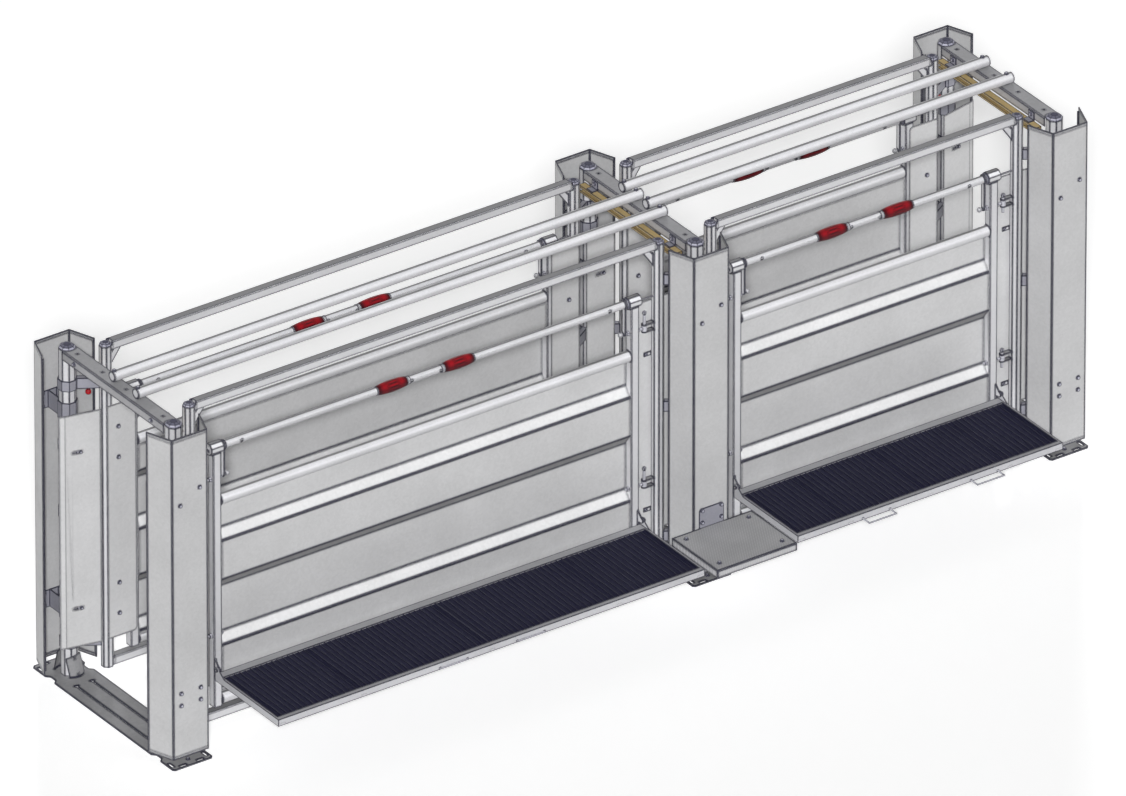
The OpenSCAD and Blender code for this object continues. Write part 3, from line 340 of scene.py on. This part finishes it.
def makeTread(name, spec):
    material, tree, shader = newMaterial(name)
    coords = objectCoords(tree)
    waves = []
    for turn in (spec["turn"], -spec["turn"]):
        turned = addNode(tree, "ShaderNodeMapping", {"Vector": coords, "Rotation": (0.0, 0.0, turn)})
        wave = addNode(tree, "ShaderNodeTexWave", {
            "Vector": turned.outputs["Vector"], "Scale": 1 / (spec["pitch"] * bandsPerUnit)},
            wave_type="BANDS", bands_direction="X", wave_profile="SIN")
        waves.append(wave.outputs["Fac"])
    lozenge = multiply(tree, waves[0], waves[1])
    stain = uneven(tree, coords, spec["stainNoise"], 1 - spec["stain"], 1 + spec["stain"])
    brightness = multiply(tree, stain, remap(tree, lozenge, *spec["shade"]))
    # painted highlight: the skirts, which look sideways, are made lighter than the tray
    skirt = remap(tree, faceLevel(tree), spec["skirt"], 1.0, *spec["skirtLevels"])
    tint = scaleColour(tree, linear(spec["colour"])[:3], multiply(tree, brightness, skirt))
    colour = addEdges(tree, tint, edgeSet["colour"], edgeSet["radius"], edgeSet["strength"])
    tree.links.new(colour, shader.inputs["Base Color"])
    tree.links.new(remap(tree, lozenge, *spec["gloss"]), shader.inputs["Roughness"])
    shader.inputs["Metallic"].default_value = spec["metal"]
    addBump(tree, shader, lozenge, spec["relief"], spec["reliefDepth"])
    return material


finishes = {name: makeZinc(name, spec, zincGrain) for name, spec in zincFinishes.items()}
finishes.update({name: makePlastic(name, spec, plasticGrain) for name, spec in plasticFinishes.items()})
finishes["tread_plate"] = makeTread("tread_plate", treadPlate)

for subpart in frame["record"]["subparts"]:
    node = frame["nodes"][subpart["node"]]
    node.data.materials.clear()
    node.data.materials.append(finishes[subpart["material_slot"]])
print("finishes on", len(frame["nodes"]), "nodes")


# bmesh helpers
def addBlock(mesh, centre, size):
    matrix = Matrix.Translation(centre) @ Matrix.Diagonal((*size, 1.0))
    bmesh.ops.create_cube(mesh, size=1.0, matrix=matrix)


# a profile of (along, out) pairs turned about an axis through the centre
def addTurned(mesh, centre, axis, profile, steps, closed=False):
    centre = Vector(centre)
    axis = Vector(axis)
    side = axis.orthogonal().normalized()
    verts = [mesh.verts.new(centre + axis * along + side * out) for along, out in profile]
    pairs = list(zip(verts, verts[1:]))
    if closed:
        pairs.append((verts[-1], verts[0]))
    edges = [mesh.edges.new(pair) for pair in pairs]
    bmesh.ops.spin(mesh, geom=verts + edges, cent=centre, axis=axis, angle=2 * math.pi, steps=steps,
                   use_merge=True, use_duplicate=False)
    bmesh.ops.remove_doubles(mesh, verts=mesh.verts, dist=1e-5)


def finishPiece(mesh, name, body, finish, smooth=False):
    bmesh.ops.recalc_face_normals(mesh, faces=mesh.faces)
    data = bpy.data.meshes.new(name)
    mesh.to_mesh(data)
    mesh.free()
    for face in data.polygons:
        face.use_smooth = smooth
    data.materials.append(finishes[finish])
    piece = bpy.data.objects.new(name, data)
    scene.collection.objects.link(piece)
    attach(piece, body)
    return piece


# walkway gratings: tall bearing bars across the walkway, low cross bars along it
gratingSet = {
    "edge": 0.004,
    "bearingPitch": 0.0325,
    "bearingWidth": 0.0032,
    "bearingInset": 0.001,
    "crossPitch": 0.0111,
    "crossWidth": 0.0022,
    "crossHeight": 0.010,
    "crossDrop": 0.0012,
}


def makeGrating(name, body, node, lengths, spec):
    low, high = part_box(node)
    mid = (low + high) / 2
    width = high.y - low.y
    height = high.z - low.z
    edge = spec["edge"]
    mesh = bmesh.new()
    border = bmesh.new()
    start = low.x
    for share in lengths:
        end = start + share * (high.x - low.x)
        length = end - start
        for x in (start + edge / 2, end - edge / 2):
            addBlock(mesh, (x, mid.y, mid.z), (edge, width, height))
        for y in (low.y + edge / 2, high.y - edge / 2):
            addBlock(border, ((start + end) / 2, y, mid.z), (length, edge, height))
        count = round(length / spec["bearingPitch"])
        z = mid.z - spec["bearingInset"] / 2
        bearing = (spec["bearingWidth"], width - edge, height - spec["bearingInset"])
        for i in range(1, count):
            addBlock(mesh, (start + length * i / count, mid.y, z), bearing)
        count = round(width / spec["crossPitch"])
        z = high.z - spec["crossDrop"] - spec["crossHeight"] / 2
        cross = (length - edge, spec["crossWidth"], spec["crossHeight"])
        for i in range(1, count):
            addBlock(mesh, ((start + end) / 2, low.y + width * i / count, z), cross)
        start = end
    piece = finishPiece(mesh, name, body, "grating")
    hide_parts(node)
    finishPiece(border, name + "Border", body, "walkway_steel")


makeGrating("longGratingMesh", "long_walkway", "long_walkway_grating", (0.5, 0.5), gratingSet)
makeGrating("shortGratingMesh", "short_walkway", "short_walkway_grating", (1.0,), gratingSet)
print("gratings made")


# the four sides of the race: name, side of the passage, middle and length of the bay
sides = (
    ("near_long", -1, -1.6, 3.2),
    ("near_short", -1, 1.116, 2.232),
    ("far_long", 1, -1.6, 3.2),
    ("far_short", 1, 1.116, 2.232),
)
sideY = 0.371  # middle of the panels
barZ = 1.617  # middle of the control bars

# pale collars that hold the grips on the control bars
collarSet = {
    "gripX": 0.204,
    "gripHalf": 0.0865,
    "gap": 0.0005,
    "bar": 0.0212,
    "clearance": 0.0002,
    "wall": 0.0022,
    "inner": 0.022,
    "outer": 0.010,
    "round": 0.0008,
    "steps": 40,
}


def makeCollars(name, side, middle, spec):
    mesh = bmesh.new()
    inside = spec["bar"] + spec["clearance"]
    outside = inside + spec["wall"]
    r = spec["round"]
    for grip in (-1, 1):
        for end, length in ((-grip, spec["inner"]), (grip, spec["outer"])):
            x = middle + grip * spec["gripX"] + end * (spec["gripHalf"] + spec["gap"])
            profile = [(0.0, inside), (0.0, outside - r), (r, outside), (length - r, outside),
                       (length, outside - r), (length, inside)]
            addTurned(mesh, (x, side * sideY, barZ), (end, 0.0, 0.0), profile, spec["steps"], closed=True)
    finishPiece(mesh, name + "Collars", name + "_bar", "galvanised_tube")


# weld beads where the panel tubes meet the uprights, a row of overlapping ripples
weldSet = {
    "tubeX": 0.342,
    "tubes": (1.3078, 0.150),
    "radius": 0.03015,
    "bead": 0.0032,
    "sink": 0.0003,
    "root": 0.0010,
    "arcPoints": 5,
    "ripples": 46,
    "stepsPerRipple": 4,
    "rippleSwell": 0.16,
    "wavers": 5,
    "waverSwell": 0.08,
    "waverShift": 9,  # so that no two tubes have the same bead
}


def addBead(mesh, centre, end, spec):
    known = set(mesh.verts)
    foot = spec["radius"] - spec["sink"]
    root = spec["radius"] - spec["root"]
    turns = [math.pi / 2 * k / (spec["arcPoints"] - 1) for k in range(spec["arcPoints"])]
    profile = [(spec["bead"] * math.cos(turn) - spec["sink"], foot + spec["bead"] * math.sin(turn))
               for turn in turns]
    profile.append((-spec["sink"], root))
    steps = spec["ripples"] * spec["stepsPerRipple"]
    addTurned(mesh, centre, (-end, 0.0, 0.0), profile, steps, closed=True)
    for vert in mesh.verts:
        off = vert.co - centre
        out = math.hypot(off.y, off.z)
        if vert in known or out < (foot + root) / 2:
            continue
        angle = math.atan2(off.z, off.y)
        waver = math.sin(spec["wavers"] * angle + centre.z * spec["waverShift"])
        swell = 1.0 + spec["rippleSwell"] * math.cos(spec["ripples"] * angle) + spec["waverSwell"] * waver
        along = (spec["sink"] - end * off.x) * swell - spec["sink"]
        out = foot + (out - foot) * swell
        vert.co = centre + Vector((-end * along, out * math.cos(angle), out * math.sin(angle)))


def makeWelds(name, side, middle, length, spec):
    mesh = bmesh.new()
    for end in (-1, 1):
        for z in spec["tubes"]:
            centre = Vector((middle + end * (length / 2 - spec["tubeX"]), side * sideY, z))
            addBead(mesh, centre, end, spec)
    finishPiece(mesh, name + "Welds", name + "_panel", "galvanised_tube", smooth=True)


# blind rivets along the upper rib of the corrugated sheets
rivetSet = {
    "y": 0.3495,
    "z": 1.1235,
    "lean": (0.8, 0.6),  # outwards and up, at right angles to the slope
    "height": 0.0030,
    "head": 0.0075,
    "dome": ((1.0, 0.0), (1.0, 0.25), (0.8, 0.3), (0.95, 0.45),  # shares of height and head
             (0.7, 0.8), (0.3, 1.0), (0.0, 1.0), (0.0, 0.0)),
    "steps": 24,
    "long": (-0.232, 0.257),
    "short": (0.258,),
}


def makeRivets(name, side, middle, spec):
    mesh = bmesh.new()
    profile = [(spec["height"] * up, spec["head"] * out) for up, out in spec["dome"]]
    axis = (0.0, side * spec["lean"][0], spec["lean"][1])
    for x in spec["long" if "long" in name else "short"]:
        addTurned(mesh, (middle + x, side * spec["y"], spec["z"]), axis, profile, spec["steps"])
    finishPiece(mesh, name + "Rivets", name + "_panel", "bolts")


# flanged bushes in the bearings of the control bars
bushSet = {
    "bearingEnd": 0.355,
    "bore": 0.0218,
    "flange": 0.0300,
    "thick": 0.0030,
    "round": 0.0009,
    "steps": 40,
}


def makeBushes(name, side, middle, length, spec):
    mesh = bmesh.new()
    bore, flange, thick, r = spec["bore"], spec["flange"], spec["thick"], spec["round"]
    profile = [(0.0, bore), (0.0, flange), (thick - r, flange), (thick, flange - r),
               (thick, bore + r), (thick - r, bore)]
    for end in (-1, 1):
        x = middle + end * (length / 2 - spec["bearingEnd"])
        addTurned(mesh, (x, side * sideY, barZ), (-end, 0.0, 0.0), profile, spec["steps"], closed=True)
    finishPiece(mesh, name + "Bushes", name + "_panel", "plastic_caps")


for name, side, middle, length in sides:
    makeCollars(name, side, middle, collarSet)
    makeWelds(name, side, middle, length, weldSet)
    makeRivets(name, side, middle, rivetSet)
    makeBushes(name, side, middle, length, bushSet)
print("collars, welds, rivets and bushes made")


# floor, world and lamps
stageSet = {
    "floorSize": 60.0,
    "floorDrop": 0.0005,
    "floorColour": 0.86,
    "floorRoughness": 0.9,
    "floorLift": 0.48,
    "horizon": 0.21,
    "zenith": 0.0,
    "zenithHeight": 0.8,
    "lampAngle": 5.0,
}

# only the key lamp shows in metal
lamps = {
    "keyLamp": {"energy": 2.9, "azimuth": -35.0, "elevation": 30.0, "inMirror": True},
    "backLamp": {"energy": 1.1, "azimuth": 145.0, "elevation": 20.0, "inMirror": False},
}


# 1 for the view and for what metal and glass show, so that both see a white background
def seenWhite(tree):
    rays = addNode(tree, "ShaderNodeLightPath").outputs
    seen = addNode(tree, "ShaderNodeMath", {0: rays["Is Camera Ray"], 1: rays["Is Glossy Ray"]},
                   operation="MAXIMUM").outputs[0]
    return addNode(tree, "ShaderNodeMath", {0: seen, 1: rays["Is Transmission Ray"]},
                   operation="MAXIMUM").outputs[0]


def makeFloor(spec):
    mesh = bmesh.new()
    bmesh.ops.create_grid(mesh, x_segments=1, y_segments=1, size=spec["floorSize"] / 2)
    bmesh.ops.translate(mesh, verts=mesh.verts, vec=(0.0, 0.0, -spec["floorDrop"]))
    data = bpy.data.meshes.new("floor")
    mesh.to_mesh(data)
    mesh.free()
    floor = bpy.data.objects.new("floor", data)
    scene.collection.objects.link(floor)
    material, tree, shader = newMaterial("floor")
    shader.inputs["Base Color"].default_value = (*[spec["floorColour"]] * 3, 1.0)
    shader.inputs["Roughness"].default_value = spec["floorRoughness"]
    shader.inputs["Emission Color"].default_value = (1.0, 1.0, 1.0, 1.0)
    lift = multiply(tree, seenWhite(tree), spec["floorLift"])
    tree.links.new(lift, shader.inputs["Emission Strength"])
    data.materials.append(material)


# a weak light from the world, stronger near the horizon
def makeWorld(spec):
    world = bpy.data.worlds.new("world")
    scene.world = world
    world.use_nodes = True
    tree = world.node_tree
    background = tree.nodes["Background"]
    background.inputs["Color"].default_value = (1.0, 1.0, 1.0, 1.0)
    direction = addNode(tree, "ShaderNodeTexCoord").outputs["Generated"]
    height = addNode(tree, "ShaderNodeSeparateXYZ", {"Vector": direction}).outputs["Z"]
    ambient = remap(tree, height, spec["horizon"], spec["zenith"], 0.0, spec["zenithHeight"])
    strength = addNode(tree, "ShaderNodeMix", {0: seenWhite(tree), 2: ambient, 3: 1.0},
                       data_type="FLOAT").outputs[0]
    tree.links.new(strength, background.inputs["Strength"])


def makeLamp(name, lamp, angle):
    data = bpy.data.lights.new(name, "SUN")
    data.energy = lamp["energy"]
    data.angle = math.radians(angle)
    sun = bpy.data.objects.new(name, data)
    aim(sun, lamp["azimuth"], lamp["elevation"])
    sun.visible_glossy = lamp["inMirror"]
    scene.collection.objects.link(sun)


makeFloor(stageSet)
makeWorld(stageSet)
for name, lamp in lamps.items():
    makeLamp(name, lamp, stageSet["lampAngle"])
print("floor and lamps made")
